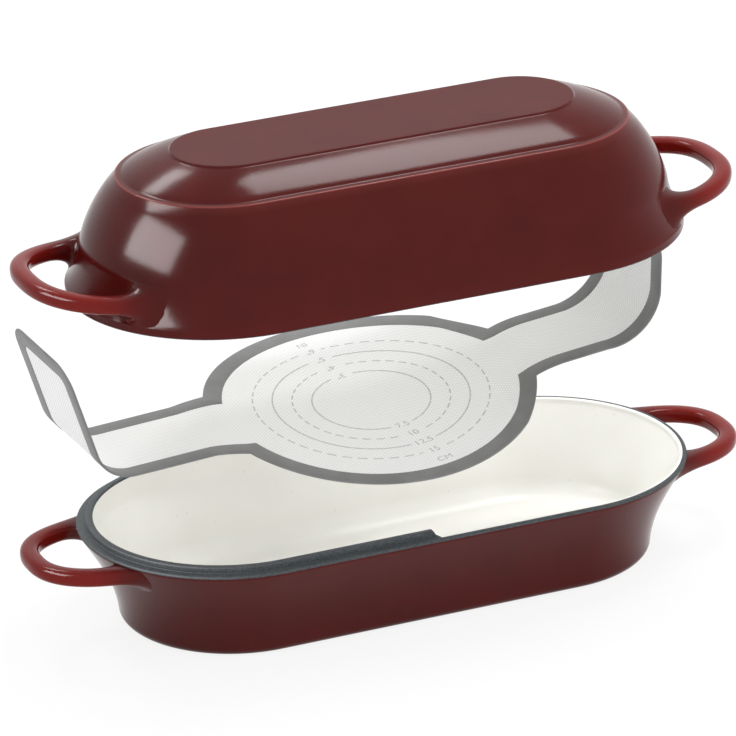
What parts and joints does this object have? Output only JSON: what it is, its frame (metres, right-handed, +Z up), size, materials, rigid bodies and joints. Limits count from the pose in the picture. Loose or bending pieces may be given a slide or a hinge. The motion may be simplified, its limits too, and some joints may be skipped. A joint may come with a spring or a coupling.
{
  "type": "bread pot",
  "caption": "Oblong enamelled cast iron bread pot with loop handles, a deep domed lid that lifts off, and a silicone sling for lowering the dough.",
  "frame": {"origin": "centre of the base's foot, on the surface it stands on", "axes": "+X along the pot towards the end without the base's lip, +Y across the pot to the back, +Z up"},
  "size_m": [0.4856, 0.2114, 0.3095],
  "materials": {
    "base_enamel": "gloss oxblood red enamel over cast iron",
    "base_lining_enamel": "gloss off-white enamel",
    "base_rim_enamel": "matt charcoal enamel",
    "lid_enamel": "gloss oxblood red enamel over cast iron",
    "lid_lining_enamel": "gloss off-white enamel",
    "lid_rim_enamel": "matt charcoal enamel",
    "sling_cloth": "woven cloth coated with pale silicone",
    "sling_silicone": "satin grey silicone"
  },
  "bodies": {
    "base": {"base_casting": "base_enamel", "base_lining": "base_lining_enamel", "base_rim_coat": "base_rim_enamel"},
    "lid": {"lid_casting": "lid_enamel", "lid_lining": "lid_lining_enamel", "lid_rim_coat": "lid_rim_enamel"},
    "sling": {"sling_panel": "sling_cloth", "sling_border": "sling_silicone"}
  },
  "joints": [
    {"name": "lid_lift", "type": "slide", "parent": "base", "child": "lid", "axis": [0, 0, 1], "range_m": [-0.1564, 0]},
    {"name": "sling_lift", "type": "slide", "parent": "base", "child": "sling", "axis": [0, 0, 1], "range_m": [-0.104, 0], "deforming": ["sling_panel", "sling_border"]}
  ],
  "couplings": [
    {"joint": "sling_lift", "follows": "lid_lift", "ratio": 0.66496}
  ]
}
